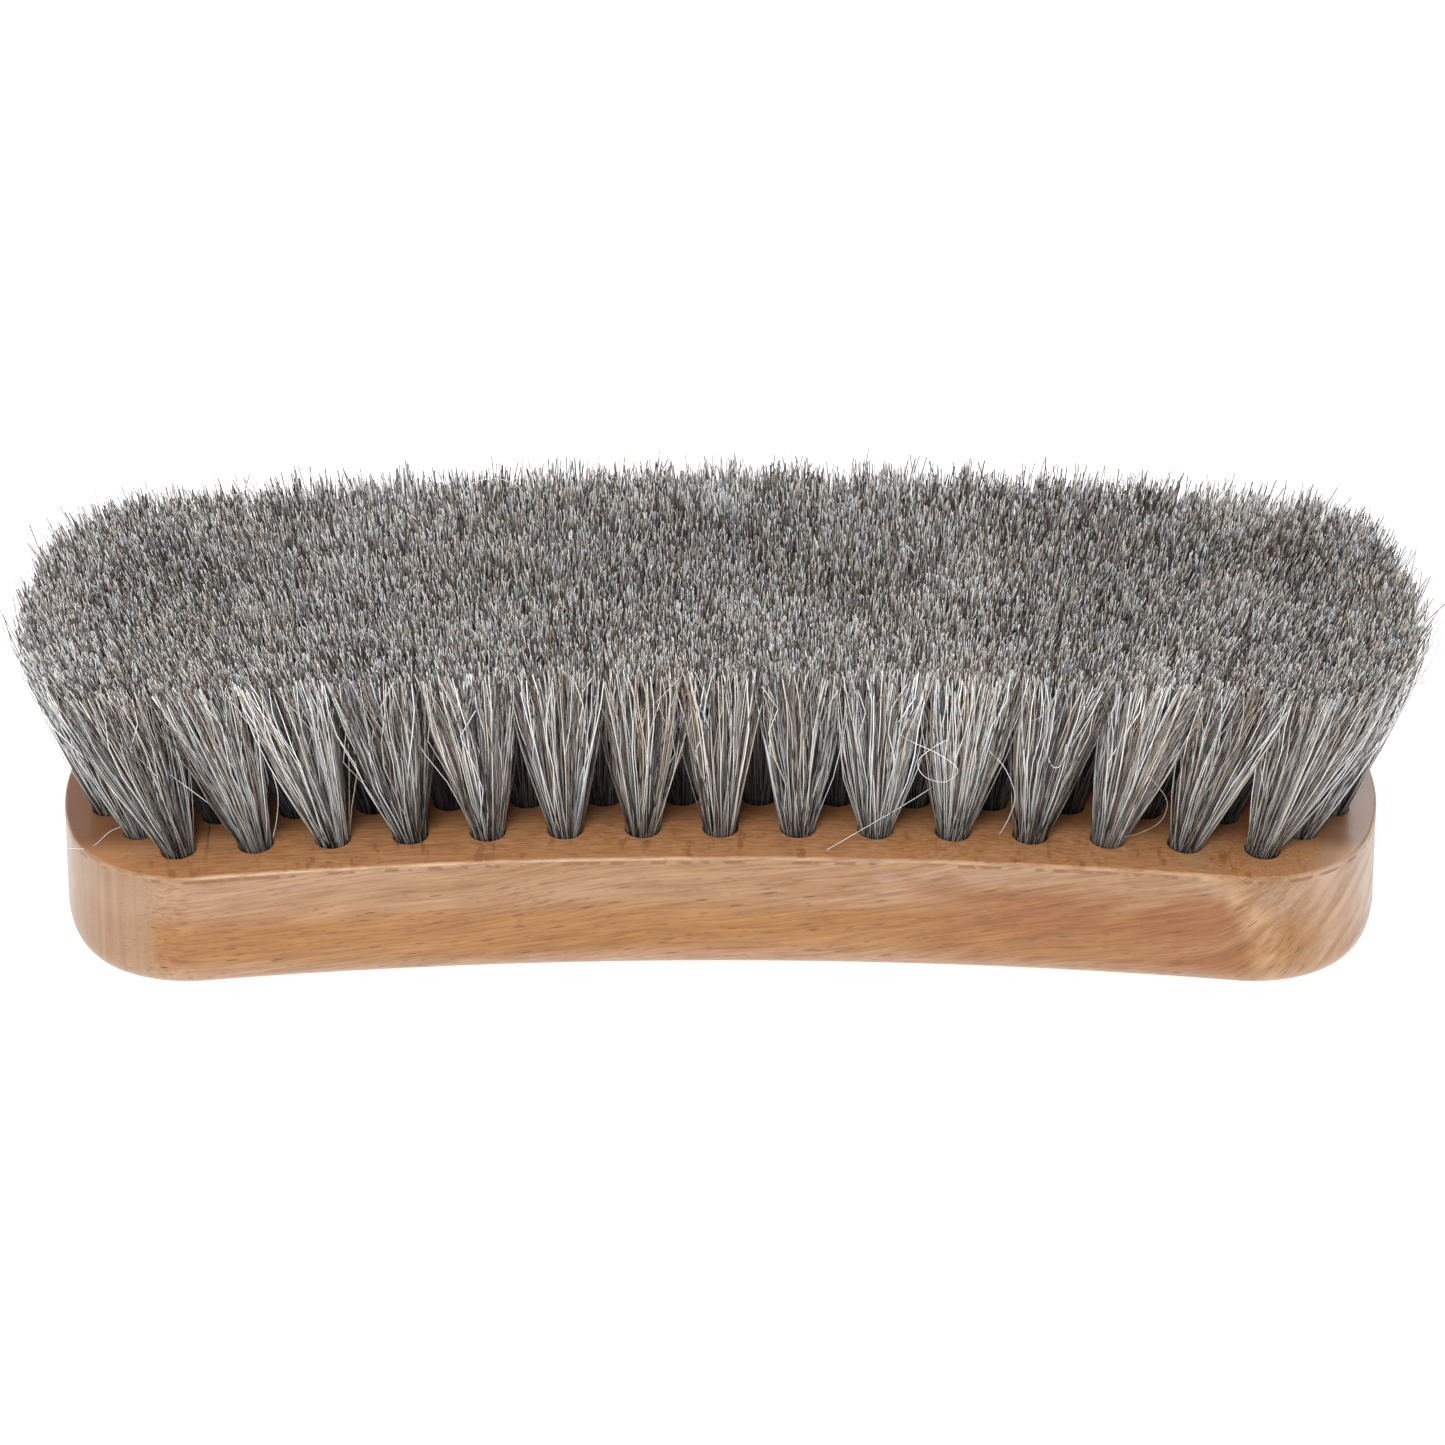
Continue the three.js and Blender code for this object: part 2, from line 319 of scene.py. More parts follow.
def arch_height(x, above):
    """The height, at x, of the arch that stands `above` the drilled face."""
    return ARCH_CENTRE_Z + np.sqrt((FACE_ARCH_RADIUS + above) ** 2 - np.square(x))


# Plan outlines and the places of the tufts


def arc_points(centre, radius, start, end, step_angle):
    steps = max(1, math.ceil(abs(end - start) / step_angle - TINY))
    angles = np.linspace(start, end, steps + 1)
    return np.stack([centre[0] + radius * np.cos(angles), centre[1] + radius * np.sin(angles)], axis=1)


def front_outline(length, width, end_radius, corner_radius, step_angle):
    """The front half of a straight-sided bar's plan, from its left tip to its right tip."""
    end_x = length / 2 - end_radius
    corner_y = width / 2 - corner_radius
    corner_x = end_x + math.sqrt((end_radius - corner_radius) ** 2 - corner_y**2)
    meeting = math.atan2(corner_y, corner_x - end_x)
    half = math.pi / 2
    right_end = arc_points((end_x, 0), end_radius, -meeting, 0, step_angle)
    right_corner = arc_points((corner_x, -corner_y), corner_radius, -half, -meeting, step_angle)
    right = np.concatenate([right_corner, right_end[1:]])
    left = right[::-1] * (-1, 1)
    return left, right


def bar_outline(length, width, end_radius, corner_radius, step_angle):
    """The whole plan of the bar, anticlockwise from its left tip."""
    left, right = front_outline(length, width, end_radius, corner_radius, step_angle)
    front = np.concatenate([left, right])
    back = front[-2:0:-1] * (1, -1)
    return np.concatenate([front, back])


def outline_walls(outline):
    """A point on each side of a convex outline and the side's normal outwards."""
    along = np.roll(outline, -1, axis=0) - outline
    normals = np.stack([along[:, 1], -along[:, 0]], axis=1)
    return outline, normals / np.linalg.norm(normals, axis=1, keepdims=True)


def row_xs(count):
    return (np.arange(count) - (count - 1) / 2) * HOLE_PITCH


def tuft_places():
    """Each tuft's name, the CAD node that it belongs to and where its hole enters the drilled face."""
    places = []
    for side, y in (("front", -OUTER_ROW_Y), ("back", OUTER_ROW_Y)):
        for i, x in enumerate(row_xs(OUTER_ROW_COUNT), 1):
            node = f"tuft_{side}_{i:02}"
            places.append({"name": node, "node": node, "row": side, "root": (x, y)})
    inner = (
        ("front", INNER_ROW_COUNT, -INNER_ROW_Y),
        ("middle", MIDDLE_ROW_COUNT, 0),
        ("back", INNER_ROW_COUNT, INNER_ROW_Y),
    )
    for row, count, y in inner:
        for i, x in enumerate(row_xs(count), 1):
            name = f"inner_tuft_{row}_{i:02}"
            places.append({"name": name, "node": f"inner_tufts_{row}", "row": f"inner_{row}", "root": (x, y)})
    mirrored = sorted([*END_HOLES, *((x, -y) for x, y in END_HOLES)], key=lambda hole: hole[1])
    for side, sign in (("left", -1), ("right", 1)):
        for i, (x, y) in enumerate(mirrored, 1):
            node = f"tuft_{side}_end_{i}"
            places.append({"name": node, "node": node, "row": f"{side}_end", "root": (sign * x, y)})
    return places


def face_grid(walls):
    """Points all over the hair face, each weighted by how densely the hair stands there."""
    points, normals = walls
    along = int(FACE_LENGTH / 2 / SETTLING_GRID)
    across = int(FACE_WIDTH / 2 / SETTLING_GRID)
    xs = np.arange(-along, along + 1) * SETTLING_GRID
    ys = np.arange(-across, across + 1) * SETTLING_GRID
    grid = np.stack(np.meshgrid(xs, ys, indexing="ij"), axis=-1).reshape(-1, 2)
    outside = np.einsum("gwk,wk->gw", grid[:, None] - points[None], normals)
    grid = grid[(outside <= 0).all(axis=1)]
    return grid, 1 / (1 + END_THINNING * (grid[:, 0] / (FACE_LENGTH / 2)) ** 2)


def settled_tips(roots, walls):
    """A tip for each tuft, in the middle of its own share of the hair face."""
    grid, weights = face_grid(walls)
    end_lean = 1 + END_LEAN * np.abs(roots[:, 0]) / END_HOLES[-1][0]
    side_lean = np.full(len(roots), SIDE_LEAN)
    tips = roots * np.stack([end_lean, side_lean], axis=1)
    for _ in range(SETTLING_PASSES):
        distances = ((grid[:, None] - tips[None]) ** 2).sum(axis=-1)
        nearest = distances.argmin(axis=1)
        total = np.bincount(nearest, weights, len(tips))
        for axis in (0, 1):
            tips[:, axis] = np.bincount(nearest, weights * grid[:, axis], len(tips)) / total
    return tips


# Meshes


def new_object(name, vertices, faces):
    """A smooth-shaded mesh object from vertices in millimetres."""
    mesh = bpy.data.meshes.new(name)
    mesh.from_pydata([tuple(v) for v in np.asarray(vertices) * MM], [], faces)
    mesh.validate()
    mesh.shade_smooth()
    obj = bpy.data.objects.new(name, mesh)
    bpy.context.scene.collection.objects.link(obj)
    return obj


def quad_mesh_object(name, vertices, quads, triangles):
    """As new_object, but quick for a very large number of faces."""
    mesh = bpy.data.meshes.new(name)
    mesh.vertices.add(len(vertices))
    mesh.vertices.foreach_set("co", (vertices * MM).astype(np.float32).ravel())
    corners = np.concatenate([quads.ravel(), triangles.ravel()])
    sizes = np.concatenate([np.full(len(quads), 4), np.full(len(triangles), 3)])
    mesh.loops.add(len(corners))
    mesh.loops.foreach_set("vertex_index", corners.astype(np.int32))
    mesh.polygons.add(len(sizes))
    starts = np.concatenate([[0], np.cumsum(sizes)[:-1]])
    mesh.polygons.foreach_set("loop_start", starts.astype(np.int32))
    mesh.update(calc_edges=True)
    mesh.shade_smooth()
    obj = bpy.data.objects.new(name, mesh)
    bpy.context.scene.collection.objects.link(obj)
    return obj


def tubes(name, lines, radii, twists):
    """One object of closed tubes. The lines are tubes by points by XYZ, and the radii tubes by points."""
    count, rings, _ = lines.shape
    tangents = np.gradient(lines, axis=1)
    tangents /= np.linalg.norm(tangents, axis=2, keepdims=True)
    across = np.cross(tangents, (0, 1, 0))
    across /= np.linalg.norm(across, axis=2, keepdims=True)
    upward = np.cross(tangents, across)
    angles = twists[:, None] + np.arange(HAIR_SIDES) * 2 * math.pi / HAIR_SIDES
    wide = np.cos(angles)[:, None, :, None] * across[:, :, None]
    tall = np.sin(angles)[:, None, :, None] * upward[:, :, None]
    vertices = lines[:, :, None] + (wide + tall) * radii[:, :, None, None]
    index = np.arange(count * rings * HAIR_SIDES).reshape(count, rings, HAIR_SIDES)
    turned = np.roll(index, -1, axis=2)
    quads = np.stack([index[:, :-1], turned[:, :-1], turned[:, 1:], index[:, 1:]], axis=-1).reshape(-1, 4)
    triangles = np.concatenate([index[:, 0, ::-1], index[:, -1]])
    return quad_mesh_object(name, vertices.reshape(-1, 3), quads, triangles)


def set_attribute(obj, name, values):
    attribute = obj.data.attributes.new(name, "FLOAT", "POINT")
    attribute.data.foreach_set("value", np.asarray(values, np.float32).ravel())


# Block


def block_profile():
    """Down the block's side: how far each ring is inside the outline, and how far below the drilled face."""
    turns = np.linspace(0, math.pi / 2, ROUNDING_STEPS)
    arris = [(ARRIS_RADIUS * (1 - math.sin(t)), ARRIS_RADIUS * (1 - math.cos(t))) for t in turns]
    lower = BLOCK_THICKNESS - BACK_EDGE_RADIUS
    side = [(0, depth) for depth in np.linspace(ARRIS_RADIUS, lower, SIDE_STEPS + 2)[1:-1]]
    back = [(BACK_EDGE_RADIUS * (1 - math.cos(t)), lower + BACK_EDGE_RADIUS * math.sin(t)) for t in turns]
    return arris + side + back


def fine_front_outline(length, width):
    """Evenly close points along the front half of the block's plan, the same at each end."""
    left, right = front_outline(length, width, BLOCK_END_RADIUS, BLOCK_CORNER_RADIUS, OUTLINE_STEP_ANGLE)
    steps = round((right[0, 0] - left[-1, 0]) / OUTLINE_SPACING)
    straight = np.linspace(left[-1], right[0], steps + 1)[1:-1]
    return np.concatenate([left, straight, right])


def outline_normals(front):
    """Normals outwards along the front half of the plan."""
    along = np.gradient(front, axis=0)
    normals = np.stack([along[:, 1], -along[:, 0]], axis=1)
    normals /= np.linalg.norm(normals, axis=1, keepdims=True)
    normals[0] = (-1, 0)
    normals[-1] = (1, 0)
    return normals


def blank_block(length, width):
    """The block before it is drilled. The back is cut level beyond the lines that it rests on."""
    front = fine_front_outline(length, width)
    normals = outline_normals(front)
    rings = []
    for inset, depth in block_profile():
        plan = front - normals * inset
        top = arch_height(plan[:, 0], 0)
        bottom = np.maximum(arch_height(plan[:, 0], -BLOCK_THICKNESS), 0)
        z = top - depth / BLOCK_THICKNESS * (top - bottom)
        back = plan[-2:0:-1] * (1, -1)
        whole = np.concatenate([plan, back])
        rings.append(np.column_stack([whole, np.concatenate([z, z[-2:0:-1]])]))
    around = len(rings[0])
    faces = []
    for upper in range(0, (len(rings) - 1) * around, around):
        lower = upper + around
        for i in range(around):
            j = (i + 1) % around
            faces.append((upper + j, upper + i, lower + i, lower + j))
    tips = len(front) - 1
    for first, order in ((0, 1), ((len(rings) - 1) * around, -1)):
        for i in range(tips):
            strip = (i, i + 1, (around - i - 1) % around, (around - i) % around)
            corners = [first + corner for corner in dict.fromkeys(strip)]
            faces.append(corners[::order])
    return new_object("beech_block", np.concatenate(rings), faces)


def hole_cutters(places):
    """Every hole as a solid that opens out at its mouth, leaning with its tuft."""
    levels = np.array([-HOLE_DEPTH, -HOLE_DEPTH + DRILL_TIP_HEIGHT, -RIM_EASING, 0, CUTTER_RISE])
    radii = HOLE_RADIUS + np.array([-DRILL_TIP_NARROWING, 0, 0, RIM_EASING, RIM_EASING + CUTTER_RISE])
    angles = np.arange(HOLE_SIDES) * 2 * math.pi / HOLE_SIDES
    circle = np.stack([np.cos(angles), np.sin(angles)], axis=1)
    vertices, faces = [], []
    for place in places:
        first = len(vertices) * HOLE_SIDES
        for level, radius in zip(levels, radii, strict=True):
            middle = place["root"] + (place["tip"] - place["root"]) * level / HAIR_LENGTH
            plan = middle + circle * radius
            vertices.append(np.column_stack([plan, arch_height(plan[:, 0], level)]))
        for ring in range(len(levels) - 1):
            start = first + ring * HOLE_SIDES
            for i in range(HOLE_SIDES):
                j = (i + 1) % HOLE_SIDES
                faces.append((start + i, start + j, start + HOLE_SIDES + j, start + HOLE_SIDES + i))
        last = first + (len(levels) - 1) * HOLE_SIDES
        faces.append(tuple(range(first + HOLE_SIDES - 1, first - 1, -1)))
        faces.append(tuple(range(last, last + HOLE_SIDES)))
    return new_object("hole_cutters", np.concatenate(vertices), faces)


def make_block(places):
    low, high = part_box("block")
    block = blank_block((high.x - low.x) / MM, (high.y - low.y) / MM)
    cutters = hole_cutters(places)
    modifier = block.modifiers.new("drilling", "BOOLEAN")
    modifier.object = cutters
    modifier.operation = "DIFFERENCE"
    modifier.solver = "EXACT"
    evaluated = block.evaluated_get(bpy.context.evaluated_depsgraph_get())
    drilled = bpy.data.meshes.new_from_object(evaluated)
    block.modifiers.clear()
    block.data = drilled
    drilled.name = block.name
    drilled.shade_smooth()
    drilled.set_sharp_from_angle(angle=SHARP_ANGLE)
    bpy.data.objects.remove(cutters)
    block.data.materials.clear()
    block.data.materials.append(beech())
    return block


# Hair


def reach(place, places, walls, directions):
    """How far a tuft's share of the hair face goes in each direction."""
    points, normals = walls
    tips = np.array([other["tip"] for other in places if other is not place])
    between = tips - place["tip"]
    lengths = np.linalg.norm(between, axis=1)
    all_normals = np.concatenate([normals, between / lengths[:, None]])
    distances = np.concatenate([((points - place["tip"]) * normals).sum(axis=1), lengths / 2])
    closing = directions @ all_normals.T
    return np.where(closing > TINY, distances / np.maximum(closing, TINY), np.inf).min(axis=1)


def unit(angles):
    return np.stack([np.cos(angles), np.sin(angles)], axis=-1)


def even_angles(place, places, walls, fractions, start, end):
    """Angles from start to end that fill the tuft's share of the hair face evenly."""
    angles = np.linspace(start, end, ANGLE_STEPS)
    swept = np.cumsum(reach(place, places, walls, unit(angles)) ** 2)
    return np.interp(fractions, (swept - swept[0]) / (swept[-1] - swept[0]), angles)


def wander(levels, rng):
    """How each hair leaves its straight course: by a bow and a gentle wave, or a strong one if it is bent."""
    count = len(levels)
    size = rng.normal(0, WAVE, (count, 2))
    bent = rng.random(count) < BENT_SHARE
    size[bent] *= BENT_WAVE / WAVE
    turns = rng.uniform(*WAVES_IN_HAIR, (count, 2))
    phases = rng.uniform(0, 2 * math.pi, (count, 2))
    rising = np.clip(levels, 0, None)[:, :, None]
    wave = size[:, None] * rising * np.sin(2 * math.pi * turns[:, None] * rising + phases[:, None])
    return wave + rng.normal(0, BOW, (count, 1, 2)) * (rising**3 - rising)


def trimmed(tips, walls, rng):
    """Each hair's length as a share of the full one. The tips are less even at the rim of the hair face."""
    points, normals = walls
    count = len(tips)
    inside = np.einsum("tkw,kw->tk", points[None] - tips[:, None], normals).min(axis=1)
    at_rim = np.clip(1 - inside / RIM_WIDTH, 0, 1)
    uneven = UNEVEN_TIPS + (RIM_UNEVEN_TIPS - UNEVEN_TIPS) * at_rim**2
    shortfall = np.abs(rng.normal(0, 1, count)) - MEAN_SHORTFALL * at_rim**2
    to_end = tips[:, 0] / (FACE_LENGTH / 2)
    to_back = np.clip(tips[:, 1] / (FACE_WIDTH / 2), 0, 1)
    rise = BACK_RISE * to_back**2 * (1 - to_end**2)
    trim = 1 + rise + rng.normal(0, UNEVEN_TIPS / 2, count) - shortfall * uneven
    short = rng.random(count) < SHORT_SHARE
    trim[short] -= rng.uniform(0, SHORT_BY, short.sum())
    return trim


def beside_anchor(place, root, side):
    """Where each hair passes the anchor's upper edge, on its own side of it."""
    depth = HAIR_DEPTH + CLEARANCE
    clear_of_wire = ANCHOR_THICKNESS / 2 + HAIR_ROOT_RADIUS
    plan = place["root"] - (place["tip"] - place["root"]) * depth / HAIR_LENGTH + root
    aside = np.maximum(np.abs(root[:, 0]), clear_of_wire) - np.abs(root[:, 0])
    plan[:, 0] += side * aside
    return np.column_stack([plan, arch_height(plan[:, 0], -depth)])


def half_strands(place, places, walls, side, fill, locks, rng):
    """The middle lines of the hairs on one side of a tuft's anchor, from the tips to beside the anchor."""
    share, across = fill
    count = len(share)
    right = math.pi / 2
    start, end = (-right, right) if side > 0 else (3 * right, right)
    angles = start + (end - start) * across + rng.normal(0, ROOT_JITTER, count)
    from_middle = np.sqrt(share)
    root = unit(angles) * (from_middle * (HOLE_RADIUS - HAIR_ROOT_RADIUS))[:, None]
    directions = unit(even_angles(place, places, walls, across, start, end))
    tip = directions * (reach(place, places, walls, directions) * from_middle)[:, None]
    disc = unit(angles) * from_middle[:, None]
    nearest = ((disc[:, None] - locks["centre"][None]) ** 2).sum(axis=-1).argmin(axis=1)
    lock_directions = unit(locks["angle"])
    lock_tips = lock_directions * (reach(place, places, walls, lock_directions) * locks["distance"])[:, None]
    tip += (lock_tips[nearest] - tip) * LOCK_PULL + rng.normal(0, SCATTER, (count, 2))

    levels = np.array(HAIR_LEVELS)[None] * trimmed(place["tip"] + tip, walls, rng)[:, None]
    opened = (1 - (1 - np.clip(levels, 0, 1)) ** FAN_POWER)[:, :, None]
    middle = place["root"] + (place["tip"] - place["root"]) * levels[:, :, None]
    mouth = np.where(rng.random((count, 1)) < CROSSING_SHARE, -root, root)
    plan = middle + mouth[:, None] + (tip - mouth)[:, None] * opened + wander(levels, rng)
    z = arch_height(plan[:, :, 0], levels * HAIR_LENGTH)
    above = np.concatenate([plan, z[:, :, None]], axis=2)
    return np.concatenate([above, beside_anchor(place, root, side)[:, None]], axis=1)


def make_locks(rng):
    """The bunches that a tuft's hairs gather in."""
    angle = rng.uniform(0, 2 * math.pi, LOCKS_PER_TUFT)
    distance = np.sqrt((np.arange(LOCKS_PER_TUFT) + 0.5) / LOCKS_PER_TUFT)
    return {"angle": angle, "distance": distance, "centre": unit(angle) * distance[:, None]}


def make_tuft(place, places, walls, material, rng):
    """One tuft of strands, each folded under the anchor so that both of its ends stand in the hair face."""
    count = STRANDS_PER_TUFT
    golden = (math.sqrt(5) - 1) / 2
    order = np.arange(count)
    fill = ((order + 0.5) / count, (order * golden + rng.random()) % 1)
    locks = make_locks(rng)
    first = half_strands(place, places, walls, 1, fill, locks, rng)
    second = half_strands(place, places, walls, -1, fill, locks, rng)
    fold_depth = ANCHOR_DEPTH + HAIR_ROOT_RADIUS + rng.uniform(0, FOLD_SPREAD, count)
    fold_plan = place["root"] - (place["tip"] - place["root"]) * fold_depth[:, None] / HAIR_LENGTH
    fold_plan[:, 1] += (first[:, -1, 1] + second[:, -1, 1]) / 2 - place["root"][1]
    fold_plan[:, 1] += (place["tip"] - place["root"])[1] * fold_depth / HAIR_LENGTH
    fold = np.column_stack([fold_plan, arch_height(fold_plan[:, 0], -fold_depth)])
    lines = np.concatenate([first, fold[:, None], second[:, ::-1]], axis=1)

    in_block = (0, 0, 0)
    levels = np.array([*HAIR_LEVELS, *in_block, *HAIR_LEVELS[::-1]])
    thickness = rng.uniform(*THICKNESS_SHARES, count)
    taper = HAIR_ROOT_RADIUS + (HAIR_TIP_RADIUS - HAIR_ROOT_RADIUS) * levels
    twists = rng.uniform(0, 2 * math.pi, count)
    obj = tubes(f"{place['name']}_hair", lines, thickness[:, None] * taper, twists)
    tone = np.clip(rng.random(count) + rng.normal(0, TUFT_TONE_JITTER), 0, 1)
    warmth = np.clip(rng.random(count) + rng.normal(0, TUFT_TONE_JITTER), 0, 1)
    shade = INNER_SHADE if place["row"].startswith("inner") else OUTER_SHADE
    light = np.interp(levels, *shade)
    per_strand = len(levels) * HAIR_SIDES
    set_attribute(obj, "light", np.tile(np.repeat(light, HAIR_SIDES), count))
    set_attribute(obj, "tone", np.repeat(tone, per_strand))
    set_attribute(obj, "warmth", np.repeat(warmth, per_strand))
    obj.data.materials.append(material)
    return obj


def smooth_line(points):
    """Evenly close points on a smooth curve through the given ones."""
    points = np.array(points, float)
    padded = np.concatenate([2 * points[:1] - points[1:2], points, 2 * points[-1:] - points[-2:-1]])
    stretches = []
    for before, start, end, after in zip(padded, padded[1:], padded[2:], padded[3:]):
        steps = max(2, math.ceil(np.linalg.norm(end - start) / STRAY_STEP))
        t = np.linspace(0, 1, steps, endpoint=False)[:, None]
        straight = end - before
        leaving = 2 * before - 5 * start + 4 * end - after
        closing = 3 * start - 3 * end + after - before
        stretches.append((2 * start + straight * t + leaving * t**2 + closing * t**3) / 2)
    return np.concatenate([*stretches, points[-1:]])


def make_strays(material):
    """The few long hairs that have slipped out of their tufts."""
    for name, (points, tone, warmth) in STRAYS.items():
        line = smooth_line(points)[None]
        stray = tubes(f"stray_hair_{name}", line, np.full(line.shape[:2], STRAY_RADIUS), np.zeros(1))
        set_attribute(stray, "light", np.ones(len(stray.data.vertices)))
        set_attribute(stray, "tone", np.full(len(stray.data.vertices), tone))
        set_attribute(stray, "warmth", np.full(len(stray.data.vertices), warmth))
        stray.data.materials.append(material)
        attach(stray, "root")


def make_hair(places, walls):
    material = horsehair()
    rng = np.random.default_rng(HAIR_SEED)
    for place in places:
        piece = make_tuft(place, places, walls, material, rng)
        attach(piece, "root")
        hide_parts(place["node"])
    make_strays(material)


# Anchors


def anchor_mesh(bm, place):
    """A flat wire on edge across a hole, with its ends rounded in plan."""
    half_run = (ANCHOR_LENGTH - ANCHOR_THICKNESS) / 2
    radius = ANCHOR_THICKNESS / 2
    step = math.pi / ANCHOR_END_STEPS
    far = arc_points((0, half_run), radius, 0, math.pi, step)
    near = arc_points((0, -half_run), radius, math.pi, 2 * math.pi, step)
    middle = place["root"] - (place["tip"] - place["root"]) * ANCHOR_DEPTH / HAIR_LENGTH
    plan = np.concatenate([far, near]) + middle
    bottom = float(arch_height(middle[0], -ANCHOR_DEPTH))
    floor = [bm.verts.new(Vector((x, y, bottom)) * MM) for x, y in plan]
    face = bm.faces.new(floor[::-1])
    raised = bmesh.ops.extrude_face_region(bm, geom=[face])
    top = [item for item in raised["geom"] if isinstance(item, bmesh.types.BMVert)]
    bmesh.ops.translate(bm, verts=top, vec=(0, 0, ANCHOR_HEIGHT * MM))


def make_anchors(places, frame):
    """The front row's anchors are the CAD nodes. The rest are made here, one piece for each row."""
    material = drawn_steel()
    for name, node in frame["nodes"].items():
        if name.startswith("anchor"):
            node.data.materials.clear()
            node.data.materials.append(material)
    rows = dict.fromkeys(place["row"] for place in places if place["row"] != "front")
    for row in rows:
        bm = bmesh.new()
        for place in places:
            if place["row"] == row:
                anchor_mesh(bm, place)
        bmesh.ops.recalc_face_normals(bm, faces=bm.faces)
        mesh = bpy.data.meshes.new(f"anchors_{row}")
        bm.to_mesh(mesh)
        bm.free()
        mesh.materials.append(material)
        piece = bpy.data.objects.new(mesh.name, mesh)
        bpy.context.scene.collection.objects.link(piece)
        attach(piece, "root")


# Materials


class Look:
    """A material whose node tree is put together by short calls that return output sockets."""

    def __init__(self, name):
        self.material = bpy.data.materials.new(name)
        self.material.use_nodes = True
        self.tree = self.material.node_tree
        self.tree.nodes.clear()
        self.shader = self.tree.nodes.new("ShaderNodeBsdfPrincipled")
        output = self.tree.nodes.new("ShaderNodeOutputMaterial")
        self.tree.links.new(self.shader.outputs["BSDF"], output.inputs["Surface"])

    def node(self, kind, inputs, output, **settings):
        node = self.tree.nodes.new(kind)
        for setting, value in settings.items():
            setattr(node, setting, value)
        for key, value in inputs.items():
            self.feed(node.inputs[key], value)
        return node.outputs[output]

    def feed(self, socket, value):
        if isinstance(value, bpy.types.NodeSocket):
            self.tree.links.new(value, socket)
        else:
            socket.default_value = value

    def millimetres(self):
        """The place on the object, in millimetres."""
        place = self.node("ShaderNodeTexCoord", {}, "Object")
        return self.node("ShaderNodeMapping", {"Vector": place, "Scale": (1 / MM,) * 3}, "Vector")

    def stretched(self, vector, scale, rotation=(0, 0, 0)):
        inputs = {"Vector": vector, "Scale": scale, "Rotation": rotation}
        return self.node("ShaderNodeMapping", inputs, "Vector")

    def noise(self, vector, scale, detail=2, roughness=0.5, distortion=0):
        inputs = {
            "Vector": vector,
            "Scale": scale,
            "Detail": detail,
            "Roughness": roughness,
            "Distortion": distortion,
        }
        return self.node("ShaderNodeTexNoise", inputs, "Fac")

    def pattern(self, vector, per_mm, **settings):
        """A noise that changes about this many times in a millimetre along each axis."""
        return self.noise(self.stretched(vector, per_mm), 1, **settings)

    def maths(self, operation, a, b=0.0, clamp=False):
        return self.node("ShaderNodeMath", {0: a, 1: b}, "Value", operation=operation, use_clamp=clamp)

    def between(self, value, low, high, to_low=0.0, to_high=1.0):
        """Turns smoothly from to_low to to_high as value goes from low to high."""
        inputs = {"Value": value, "From Min": low, "From Max": high, "To Min": to_low, "To Max": to_high}
        return self.node("ShaderNodeMapRange", inputs, "Result", interpolation_type="SMOOTHSTEP")

    def mix(self, factor, a, b, blend="MIX"):
        inputs = {0: factor, 6: a, 7: b}
        return self.node("ShaderNodeMix", inputs, 2, data_type="RGBA", blend_type=blend)

    def ramp(self, factor, stops):
        node = self.tree.nodes.new("ShaderNodeValToRGB")
        elements = node.color_ramp.elements
        elements[0].position, elements[0].color = stops[0][0], (*stops[0][1], 1)
        elements[1].position, elements[1].color = stops[-1][0], (*stops[-1][1], 1)
        for position, colour in stops[1:-1]:
            elements.new(position).color = (*colour, 1)
        self.feed(node.inputs["Fac"], factor)
        return node.outputs["Color"]

    def attribute(self, name):
        return self.node("ShaderNodeAttribute", {}, "Fac", attribute_name=name)

    def bump(self, height, distance, strength):
        inputs = {"Height": height, "Distance": distance * MM, "Strength": strength}
        self.feed(self.shader.inputs["Normal"], self.node("ShaderNodeBump", inputs, "Normal"))


def horsehair():
    """Mixed grey hair: each one has its own tone and warmth, and is dim at the root, deep in the tuft."""
    look = Look("horsehair")
    tone = look.attribute("tone")
    drift = look.noise(look.stretched(look.millimetres(), (1, 1, 0.2)), 0.9)
    tone = look.maths("ADD", tone, look.between(drift, 0.2, 0.8, -TONE_DRIFT, TONE_DRIFT), clamp=True)
    cool = look.ramp(tone, COOL_HAIR_COLOURS)
    warm = look.ramp(tone, WARM_HAIR_COLOURS)
    colour = look.mix(look.between(look.attribute("warmth"), *WARM_SHARES), cool, warm)
    light = {axis: look.attribute("light") for axis in ("Red", "Green", "Blue")}
    dim = look.node("ShaderNodeCombineColor", light, "Color")
    colour = look.mix(1.0, colour, dim, "MULTIPLY")
    look.feed(look.shader.inputs["Base Color"], colour)
    look.shader.inputs["Roughness"].default_value = 0.4
    look.shader.inputs["Specular IOR Level"].default_value = 0.5
    return look.material


def beech_grain(look, place, along):
    """The place in the wood, turned so that the grain climbs to the right, most steeply at the right end."""
    slow = look.pattern(place, (0.02, 0.06, 0.06))
    sway = look.between(slow, 0.2, 0.8, -GRAIN_SWAY, GRAIN_SWAY)
    bend = look.maths("ADD", sway, look.between(along, SWIRL_START_X, SWIRL_END_X, 0, -SWIRL_RISE))
    offset = look.node("ShaderNodeCombineXYZ", {"Z": bend}, "Vector")
    bent = look.node("ShaderNodeVectorMath", {0: place, 1: offset}, "Vector", operation="ADD")
    return look.stretched(bent, (1, 1, 1), (0, math.atan(GRAIN_SLOPE), 0))


